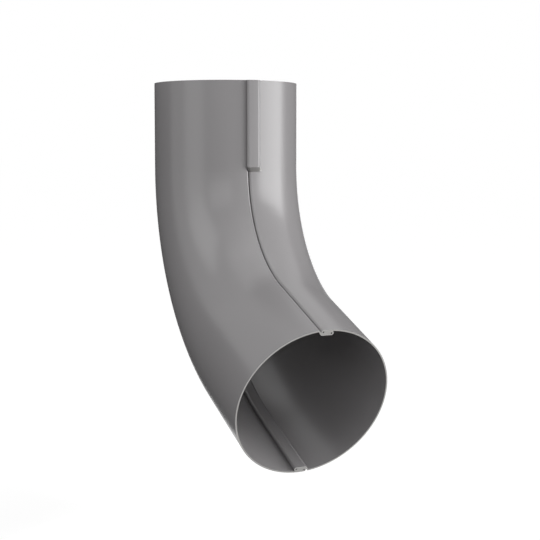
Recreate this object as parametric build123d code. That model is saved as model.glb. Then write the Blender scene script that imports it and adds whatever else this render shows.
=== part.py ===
from build123d import *
import os
from math import acos, atan2, cos, degrees, radians, sin

# Downpipe elbow of painted steel sheet, in millimetres.
# Two pressed half shells are hooked together by a rolled lock seam on the inside of the bend and
# another on its outside. The origin is the centre of the inlet's rim, the inlet's axis is Z and
# water runs down it, and the bend carries it round towards +X. The seams lie along the plane of
# the bend, so one half shell is the -Y side of the pipe and the other is the +Y side.

# Pipe
pipe_diameter = 87.0
sheet = 0.75
inlet_length = 50.0
bend_radius = 110.0
bend_angle = 70.0
outlet_length = 50.0

# Lock seam: four layers of sheet, a hair apart where they are rolled shut
layer_gap = 0.08
seam_span = 4.9              # between the centres of its two folds
seam_offset_bend = 0.55      # from the plane of the bend to the middle of the seam
seam_offset_inlet = -1.15
hem_end_gap = 0.35           # from the cut edge of a hem to the centre of the fold round it

# Step of the sheet beside the seam, which wraps the fold and then meets the wall in a shoulder
shoulder_radius = 0.6
shoulder_reach = 2.65        # from the centre of the fold to the wall's end of the step

# Foot of the inlet, where the seam passes from the outside of the pipe to its inside
seam_crossing = 4.4

# Sizes that follow from these
wall_radius = pipe_diameter / 2 - sheet / 2
layer_pitch = sheet + layer_gap
crossing_angle = degrees(seam_crossing / bend_radius)
bend_axis = Axis((bend_radius, 0, -inlet_length), (0, -1, 0))
outlet_direction = Vector(sin(radians(bend_angle)), 0, -cos(radians(bend_angle)))
pipe_centre = Vector(0, 0, 0)

# The section is drawn with X towards the inside of the bend and Y along the part's own Y. The
# middle of the sheet runs along arcs, each given as centre, radius, start angle and sweep, and
# a flat joins two arcs that don't meet. A layer's level counts outwards from the pipe's wall.


def polar(radius, angle):
    """The point at this distance from the section's centre, in this direction."""
    return Vector(radius * cos(radians(angle)), radius * sin(radians(angle)), 0)


def level_radius(level):
    """Radius of the middle of a layer."""
    return wall_radius + level * layer_pitch


def around(distance):
    """The angle that a distance along the pipe's wall takes."""
    return degrees(distance / wall_radius)


def turn_to(start, end):
    """The shorter way round from one direction to another."""
    return (end - start + 180) % 360 - 180


def layer(level, start, end):
    """A stretch of sheet that follows the pipe's round at one level."""
    return (pipe_centre, level_radius(level), start, end - start)


def fold(level, angle, sweep):
    """A half turn of the sheet round the cut edge of the other half shell's hem."""
    return (polar(level_radius(level), angle), layer_pitch, angle + 180, sweep)


def step(fold_level, fold_angle, side, rise):
    """The stretches from the seam to the wall, past the end fold of the seam.

    side is 1 where the wall lies further round than the fold, and -1 where it lies before it.
    rise is 1 where the sheet passes outside the fold, -1 where it passes inside it, and 0 where
    it is level with the wall: it then stays on the wall's round, in the same number of pieces.
    """
    wall_angle = fold_angle + side * around(shoulder_reach)
    if rise == 0:
        thirds = [fold_angle + (wall_angle - fold_angle) * third / 3 for third in range(4)]
        return [layer(0, a, b) for a, b in zip(thirds, thirds[1:])]
    wrap_centre = polar(level_radius(fold_level), fold_angle)
    wrap_radius = 2 * layer_pitch
    shoulder_centre = polar(wall_radius + rise * shoulder_radius, wall_angle)
    between = shoulder_centre - wrap_centre
    square_to_flat = (degrees(atan2(between.Y, between.X))
                      - side * rise * degrees(acos((wrap_radius + shoulder_radius) / between.length)))
    wrap_start = fold_angle if rise > 0 else fold_angle + 180
    shoulder_start = square_to_flat + 180
    shoulder_end = wall_angle + 180 if rise > 0 else wall_angle
    return [(wrap_centre, wrap_radius, wrap_start, turn_to(wrap_start, square_to_flat)),
            (shoulder_centre, shoulder_radius, shoulder_start, turn_to(shoulder_start, shoulder_end))]


def backwards(arcs):
    """The same stretches, followed from their other end."""
    return [(centre, radius, start + sweep, -sweep) for centre, radius, start, sweep in reversed(arcs)]


def sheet_middle(turn, seam_offset, lift):
    """The middle of one half shell's sheet, from its hem at one seam to its hem at the other.

    lift is how many layers the seam is pushed outwards: 0 leaves the outermost layer flush with
    the pipe's outside, and 3 brings the innermost one flush with its bore.
    """
    hook = turn + around(seam_offset - seam_span / 2)
    tongue = turn + around(seam_offset + seam_span / 2)
    far_hook = hook + 180
    far_tongue = tongue + 180
    hem_end = around(hem_end_gap)
    raised = 1 if lift > 0 else 0
    dived = -1 if lift < 3 else 0
    outer_hem = [layer(lift - 2, tongue - hem_end, hook),
                 fold(lift - 1, hook, 180),
                 layer(lift, hook, tongue)]
    outer_step = step(lift - 2, tongue, 1, raised)
    inner_step = step(lift - 1, far_hook, -1, dived)
    wall = layer(0, tongue + around(shoulder_reach), far_hook - around(shoulder_reach))
    inner_hem = [layer(lift - 3, far_hook, far_tongue),
                 fold(lift - 2, far_tongue, -180),
                 layer(lift - 1, far_tongue, far_hook + hem_end)]
    return outer_hem + outer_step + [wall] + backwards(inner_step) + inner_hem


def sheet_edges(arcs, left):
    """The line that runs this far left of the middle of the sheet."""
    curves = []
    for centre, radius, start, sweep in arcs:
        side_radius = radius - left if sweep > 0 else radius + left
        points = [centre + polar(side_radius, start + sweep * part) for part in (0, 0.5, 1)]
        curve = ThreePointArc(*points)
        if curves and (curve @ 0 - curves[-1] @ 1).length > layer_gap / 10:
            curves.append(Line(curves[-1] @ 1, curve @ 0))
        curves.append(curve)
    return curves


def section(turn, seam_offset, lift):
    """The cut face of one half shell, square to the pipe."""
    arcs = sheet_middle(turn, seam_offset, lift)
    outside = sheet_edges(arcs, -sheet / 2)
    inside = sheet_edges(arcs, sheet / 2)
    first_edge = Line(inside[0] @ 0, outside[0] @ 0)
    last_edge = Line(outside[-1] @ 1, inside[-1] @ 1)
    return make_face(outside + [last_edge] + inside + [first_edge])


def half_shell(turn):
    """One half of the elbow, pressed from one sheet and hemmed along both of its edges."""
    at_inlet = Pos(0, 0, -inlet_length) * section(turn, seam_offset_inlet, 3)
    in_bend = Pos(0, 0, -inlet_length) * section(turn, seam_offset_bend, 0)
    after_crossing = in_bend.rotate(bend_axis, crossing_angle)
    at_outlet = in_bend.rotate(bend_axis, bend_angle)
    inlet = extrude(at_inlet, amount=inlet_length, dir=(0, 0, 1))
    crossing = loft([at_inlet, after_crossing], ruled=True)
    bend = revolve(after_crossing, axis=bend_axis, revolution_arc=bend_angle - crossing_angle)
    outlet = extrude(at_outlet, amount=outlet_length, dir=outlet_direction)
    return inlet + crossing + bend + outlet


os.makedirs("parts", exist_ok=True)
export_step(half_shell(0), "parts/right_half_shell.step")
export_step(half_shell(180), "parts/left_half_shell.step")
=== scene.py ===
from math import cos, pi, radians, sin

import bpy
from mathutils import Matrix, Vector


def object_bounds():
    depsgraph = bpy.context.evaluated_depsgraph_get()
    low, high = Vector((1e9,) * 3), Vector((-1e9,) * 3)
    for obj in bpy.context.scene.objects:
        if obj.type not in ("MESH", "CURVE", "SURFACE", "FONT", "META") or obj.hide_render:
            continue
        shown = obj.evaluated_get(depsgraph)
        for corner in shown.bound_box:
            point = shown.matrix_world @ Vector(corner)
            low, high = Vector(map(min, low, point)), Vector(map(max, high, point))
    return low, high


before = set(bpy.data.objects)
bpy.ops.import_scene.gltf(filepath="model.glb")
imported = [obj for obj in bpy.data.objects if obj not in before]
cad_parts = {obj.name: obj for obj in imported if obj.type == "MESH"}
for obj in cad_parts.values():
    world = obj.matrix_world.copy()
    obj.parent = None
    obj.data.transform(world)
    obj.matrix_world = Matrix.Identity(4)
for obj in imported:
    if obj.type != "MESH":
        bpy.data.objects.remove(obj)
cad_low, cad_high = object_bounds()

# Camera
# It looks at the elbow from beside its outlet, a little from above, so that the mouth of the outlet,
# the seam on the inside of the bend and the straight inlet all show. The shift was chosen, and lens
# and place were then fitted to the photograph's outline.
camera_turn = radians(65.36)
camera_rise = radians(3.86)
camera_distance = 0.5989
camera_aim = Vector((0.0357, 0.0136, -0.0757))
camera_lens = 67.37
camera_shift = -60 / 540

camera_back = Vector((sin(camera_turn) * cos(camera_rise), -cos(camera_turn) * cos(camera_rise),
                      sin(camera_rise)))
camera_data = bpy.data.cameras.new("camera")
camera_data.lens = camera_lens
camera_data.sensor_width = 36
camera_data.shift_y = camera_shift
camera_data.clip_start = 0.01
camera_data.clip_end = 50
camera = bpy.data.objects.new("camera", camera_data)
bpy.context.scene.collection.objects.link(camera)
camera.location = camera_aim + camera_back * camera_distance
camera.rotation_mode = "QUATERNION"
camera.rotation_quaternion = (-camera_back).to_track_quat("-Z", "Y")
bpy.context.scene.camera = camera


# Half shells
# Two halves pressed from galvanised steel sheet, hooked into each other along the inside and the
# outside of the bend and rolled flat. The sheet is coil coated, so bare zinc shows on the edges cut
# at the two rims. Lighter, metallic zinc patches on the ramp where the seam sinks at the foot of the
# inlet are a painted highlight for the light that ramp catches.
def linear(hex_colour):
    """The linear colour of an sRGB hex value."""
    channels = [int(hex_colour[i:i + 2], 16) / 255 for i in (1, 3, 5)]
    return [c / 12.92 if c <= 0.04045 else ((c + 0.055) / 1.055) ** 2.4 for c in channels] + [1]


def add_node(tree, kind, inputs={}, **settings):
    """Adds a node. An input is a value, or another node's output that is linked to it."""
    node = tree.nodes.new(kind)
    for name, value in settings.items():
        setattr(node, name, value)
    for name, value in inputs.items():
        if isinstance(value, bpy.types.NodeSocket):
            tree.links.new(value, node.inputs[name])
        else:
            node.inputs[name].default_value = value
    return node


paint_grey = "#878586"
# Zinc colour of the cut edges, also laid on the seam's ramp as a painted highlight
zinc_and_painted_highlight = "#9a9997"
zinc_and_highlight_roughness = 0.4
cut_depth = 0.0002           # how far from the rim's plane the bare edge shows
squarely = 0.9               # how squarely a face looks along the pipe if it is a cut edge
peel_size = 0.0016           # waviness that a roller leaves in the paint
peel_depth = 0.000002
grain_size = 0.0004
ramp_highlight_size = 0.001             # patches of painted highlight on the ramp where the seam crosses
pipe_radius = 0.0435
bend_radius = 0.110
bend_angle = radians(70)
inlet_length = 0.050
outlet_length = 0.050
seam_crossing = 0.0045       # along the bend's centre line
proud_from = 0.00003         # the painted highlight fades in between these heights above the pipe
proud_by = 0.0001
ramp_start = 0.002           # and over this part of a radian round the bend

outlet_direction = Vector((sin(bend_angle), 0, -cos(bend_angle)))
bend_end = Vector((bend_radius - bend_radius * cos(bend_angle), 0,
                   -inlet_length - bend_radius * sin(bend_angle)))
outlet_end = bend_end + outlet_direction * outlet_length

# Coil-coated steel: a polyester paint over zinc, laid on flat by rollers. Smooth and half glossy,
# with a faint peel that softens what it mirrors. Where it is cut, the zinc is a dull metal, which
# looks light or dark with what it mirrors. The same lighter zinc is laid on the seam's ramp as a
# painted highlight.
painted_steel = bpy.data.materials.new("coil_coated_steel")
painted_steel.use_nodes = True
tree = painted_steel.node_tree
tree.nodes.clear()
place = add_node(tree, "ShaderNodeTexCoord").outputs["Object"]
normal = add_node(tree, "ShaderNodeNewGeometry").outputs["True Normal"]
peel = add_node(tree, "ShaderNodeTexNoise", {"Vector": place, "Scale": 1 / peel_size, "Detail": 2,
                                             "Roughness": 0.5})
ramp_highlight_noise = add_node(tree, "ShaderNodeTexNoise", {"Vector": place, "Scale": 1 / ramp_highlight_size, "Detail": 1})
grain = add_node(tree, "ShaderNodeTexNoise", {"Vector": place, "Scale": 1 / grain_size, "Detail": 1})

# The edge cut at the outlet's rim
along_outlet = add_node(tree, "ShaderNodeVectorMath", {0: place, 1: outlet_direction},
                        operation="DOT_PRODUCT")
faces_outlet = add_node(tree, "ShaderNodeVectorMath", {0: normal, 1: outlet_direction},
                        operation="DOT_PRODUCT")
at_outlet = add_node(tree, "ShaderNodeMath", {0: along_outlet.outputs["Value"],
                                              1: outlet_end.dot(outlet_direction) - cut_depth},
                     operation="GREATER_THAN")
end_outlet = add_node(tree, "ShaderNodeMath", {0: faces_outlet.outputs["Value"], 1: squarely},
                      operation="GREATER_THAN")
cut_outlet = add_node(tree, "ShaderNodeMath", {0: at_outlet.outputs[0], 1: end_outlet.outputs[0]},
                      operation="MULTIPLY")

# The edge cut at the inlet's rim
place_parts = add_node(tree, "ShaderNodeSeparateXYZ", {"Vector": place})
normal_parts = add_node(tree, "ShaderNodeSeparateXYZ", {"Vector": normal})
at_inlet = add_node(tree, "ShaderNodeMath", {0: place_parts.outputs["Z"], 1: -cut_depth},
                    operation="GREATER_THAN")
end_inlet = add_node(tree, "ShaderNodeMath", {0: normal_parts.outputs["Z"], 1: squarely},
                     operation="GREATER_THAN")
cut_inlet = add_node(tree, "ShaderNodeMath", {0: at_inlet.outputs[0], 1: end_inlet.outputs[0]},
                     operation="MULTIPLY")
cut = add_node(tree, "ShaderNodeMath", {0: cut_outlet.outputs[0], 1: cut_inlet.outputs[0]},
               operation="MAXIMUM")

# The ramp on which the seam sinks at the foot of the inlet: it stands proud of the pipe's round,
# and lies past the inlet but before the bend's own section. Patches of lighter, metallic zinc on it
# are a painted highlight for the light the ramp catches.
to_bend_axis = add_node(tree, "ShaderNodeVectorMath", {0: (bend_radius, 0, -inlet_length), 1: place},
                        operation="SUBTRACT")
in_bend_plane = add_node(tree, "ShaderNodeVectorMath", {0: to_bend_axis.outputs["Vector"], 1: (1, 0, 1)},
                         operation="MULTIPLY")
axis_distance = add_node(tree, "ShaderNodeVectorMath", {0: in_bend_plane.outputs["Vector"]},
                         operation="LENGTH")
bend_parts = add_node(tree, "ShaderNodeSeparateXYZ", {"Vector": to_bend_axis.outputs["Vector"]})
inwards = add_node(tree, "ShaderNodeMath", {0: bend_radius, 1: axis_distance.outputs["Value"]},
                   operation="SUBTRACT")
in_section = add_node(tree, "ShaderNodeCombineXYZ", {"X": inwards.outputs[0], "Y": bend_parts.outputs["Y"]})
from_centre_line = add_node(tree, "ShaderNodeVectorMath", {0: in_section.outputs["Vector"]},
                            operation="LENGTH")
round_bend = add_node(tree, "ShaderNodeMath", {0: bend_parts.outputs["Z"], 1: bend_parts.outputs["X"]},
                      operation="DIVIDE")
proud = add_node(tree, "ShaderNodeMapRange", {"Value": from_centre_line.outputs["Value"],
                                              "From Min": pipe_radius + proud_from,
                                              "From Max": pipe_radius + proud_by})
past_inlet = add_node(tree, "ShaderNodeMapRange", {"Value": round_bend.outputs[0], "From Min": 0,
                                                   "From Max": ramp_start})
before_bend = add_node(tree, "ShaderNodeMath", {0: round_bend.outputs[0], 1: seam_crossing / bend_radius},
                       operation="LESS_THAN")
on_foot = add_node(tree, "ShaderNodeMath", {0: proud.outputs["Result"], 1: past_inlet.outputs["Result"]},
                   operation="MULTIPLY")
on_ramp = add_node(tree, "ShaderNodeMath", {0: on_foot.outputs[0], 1: before_bend.outputs[0]},
                   operation="MULTIPLY")
# Painted highlight: the ramp's lighter zinc patches, broken up by noise
ramp_highlight_strength = add_node(tree, "ShaderNodeMapRange", {"Value": ramp_highlight_noise.outputs["Fac"], "From Min": 0.35,
                                                  "From Max": 0.6, "To Min": 0.85, "To Max": 1.0})
painted_ramp_highlight = add_node(tree, "ShaderNodeMath", {0: on_ramp.outputs[0], 1: ramp_highlight_strength.outputs["Result"]},
                  operation="MULTIPLY")
# Cut zinc edges, and the painted highlight on the ramp
cut_edge_and_painted_highlight = add_node(tree, "ShaderNodeMath", {0: cut.outputs[0], 1: painted_ramp_highlight.outputs[0]}, operation="MAXIMUM")

# The paint's colour and gloss, and the zinc's on the cut edges and on the ramp, where it is a painted
# highlight
tone = add_node(tree, "ShaderNodeMapRange", {"Value": grain.outputs["Fac"], "From Min": 0.3,
                                             "From Max": 0.7, "To Min": 0.99, "To Max": 1.01})
paint = add_node(tree, "ShaderNodeVectorMath", {0: linear(paint_grey)[:3], "Scale": tone.outputs["Result"]},
                 operation="SCALE")
colour = add_node(tree, "ShaderNodeMix", {"Factor": cut_edge_and_painted_highlight.outputs[0], "A": paint.outputs["Vector"],
                                          "B": linear(zinc_and_painted_highlight)}, data_type="RGBA")
gloss = add_node(tree, "ShaderNodeMapRange", {"Value": peel.outputs["Fac"], "From Min": 0.3,
                                              "From Max": 0.7, "To Min": 0.245, "To Max": 0.265})
finish = add_node(tree, "ShaderNodeMix", {"Factor": cut_edge_and_painted_highlight.outputs[0], "A": gloss.outputs["Result"],
                                          "B": zinc_and_highlight_roughness})
bump = add_node(tree, "ShaderNodeBump", {"Height": peel.outputs["Fac"], "Distance": peel_depth,
                                         "Strength": 0.1})
surface = add_node(tree, "ShaderNodeBsdfPrincipled", {"Base Color": colour.outputs["Result"],
                                                      "Roughness": finish.outputs["Result"],
                                                      "Metallic": cut_edge_and_painted_highlight.outputs[0],
                                                      "Normal": bump.outputs["Normal"], "IOR": 1.5})
add_node(tree, "ShaderNodeOutputMaterial", {"Surface": surface.outputs["BSDF"]})

for node_name in ("left_half_shell", "right_half_shell"):
    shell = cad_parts[node_name]
    shell.data.materials.clear()
    shell.data.materials.append(painted_steel)

# Floor
# A plain white studio floor well below the elbow, which hangs as it does on its downpipe. It is
# white to the camera and to gloss, and takes the elbow's shadow as matt paper does.
floor_drop = 0.25
floor_white = 0.9            # white to the camera, a little below the background's
bpy.ops.object.select_all(action="DESELECT")
bpy.ops.mesh.primitive_plane_add(size=40, location=(0, 0, cad_low.z - floor_drop))
floor = bpy.context.object
floor.name = "floor"


def sees_background(tree):
    """1 for the rays that show the white background: the camera's, and what gloss or glass sends on."""
    ray = add_node(tree, "ShaderNodeLightPath").outputs
    direct = add_node(tree, "ShaderNodeMath", {0: ray["Is Camera Ray"], 1: ray["Is Glossy Ray"]},
                      operation="MAXIMUM")
    seen = add_node(tree, "ShaderNodeMath", {0: direct.outputs[0], 1: ray["Is Transmission Ray"]},
                    operation="MAXIMUM")
    return seen.outputs[0]


white_floor = bpy.data.materials.new("white_floor")
white_floor.use_nodes = True
tree = white_floor.node_tree
tree.nodes.clear()
matt = add_node(tree, "ShaderNodeBsdfDiffuse", {"Color": linear("#808080")})
lit = add_node(tree, "ShaderNodeEmission", {"Color": (1, 1, 1, 1), "Strength": floor_white})
dark = add_node(tree, "ShaderNodeEmission", {"Color": (0, 0, 0, 1), "Strength": 0})
glow = add_node(tree, "ShaderNodeMixShader", {0: sees_background(tree), 1: dark.outputs[0],
                                              2: lit.outputs[0]})
both = add_node(tree, "ShaderNodeAddShader", {0: matt.outputs[0], 1: glow.outputs[0]})
add_node(tree, "ShaderNodeOutputMaterial", {"Surface": both.outputs[0]})
floor.data.materials.append(white_floor)

# Studio
# White surroundings, a tall soft box on the right that draws the bright stripe down the pipe, and
# weaker ones above, in front and on the left. A dark card behind on the left and a grey one behind
# on the right give the sheet its darker outer edges.
soft_light = 0.46            # from all round
background_white = 1.0
elbow_middle = Vector((0.044, 0, -0.106))

world = bpy.data.worlds.new("studio")
bpy.context.scene.world = world
world.use_nodes = True
tree = world.node_tree
tree.nodes.clear()
around = add_node(tree, "ShaderNodeBackground", {"Color": (1, 1, 1, 1), "Strength": soft_light})
behind = add_node(tree, "ShaderNodeBackground", {"Color": (1, 1, 1, 1), "Strength": background_white})
mixed = add_node(tree, "ShaderNodeMixShader", {0: sees_background(tree), 1: around.outputs[0],
                                               2: behind.outputs[0]})
add_node(tree, "ShaderNodeOutputWorld", {"Surface": mixed.outputs[0]})


def away_from_middle(turn, rise):
    """The direction this far round from the camera's side, to the right, and this far up."""
    angle = camera_turn + radians(turn)
    return Vector((sin(angle) * cos(radians(rise)), -cos(angle) * cos(radians(rise)), sin(radians(rise))))


def soft_box(name, turn, rise, distance, width, height, brightness):
    """A soft box that faces the elbow. White paper in full studio light has a brightness of 1."""
    lamp_data = bpy.data.lights.new(name, "AREA")
    lamp_data.shape = "RECTANGLE"
    lamp_data.size = width
    lamp_data.size_y = height
    lamp_data.energy = brightness * pi * width * height
    lamp = bpy.data.objects.new(name, lamp_data)
    bpy.context.scene.collection.objects.link(lamp)
    away = away_from_middle(turn, rise)
    lamp.location = elbow_middle + away * distance
    lamp.rotation_mode = "QUATERNION"
    lamp.rotation_quaternion = away.to_track_quat("Z", "Y")


soft_box("right_box", 80, 5, 1.2, 1.08, 0.95, 5.3)
soft_box("top_box", 5, 62, 1.5, 1.4, 1.0, 0.4)
soft_box("overhead_box", 0, 88, 1.4, 1.2, 1.2, 0.65)
soft_box("front_box", -10, 20, 1.3, 0.8, 0.4, 1.3)
soft_box("left_box", -55, 30, 1.4, 0.8, 0.8, 1.85)
soft_box("left_low_box", -50, 2, 1.2, 0.7, 0.5, 1.2)
soft_box("inner_box", 38, 5, 1.2, 0.5, 0.8, 0.3)


def studio_card(name, turn, distance, width, height, lift, colour):
    """An upright card that faces the elbow, hidden from the camera but not from gloss."""
    away = away_from_middle(turn, 0)
    bpy.ops.object.select_all(action="DESELECT")
    bpy.ops.mesh.primitive_plane_add(size=1, location=(0, 0, 0))
    card = bpy.context.object
    card.name = name
    for corner in card.data.vertices:
        across = Vector((-away.y, away.x, 0)) * corner.co.x * width
        corner.co = elbow_middle + away * distance + across + Vector((0, 0, corner.co.y * height + lift))
    matt_card = bpy.data.materials.new(name)
    matt_card.use_nodes = True
    tree = matt_card.node_tree
    tree.nodes.clear()
    matt = add_node(tree, "ShaderNodeBsdfDiffuse", {"Color": linear(colour)})
    add_node(tree, "ShaderNodeOutputMaterial", {"Surface": matt.outputs[0]})
    card.data.materials.append(matt_card)
    card.visible_camera = False


studio_card("dark_card", -128, 0.5, 0.65, 0.5, -0.09, "#202020")
studio_card("grey_card", 140, 0.5, 0.5, 0.6, 0, "#707070")

bpy.context.scene.view_settings.view_transform = "Standard"
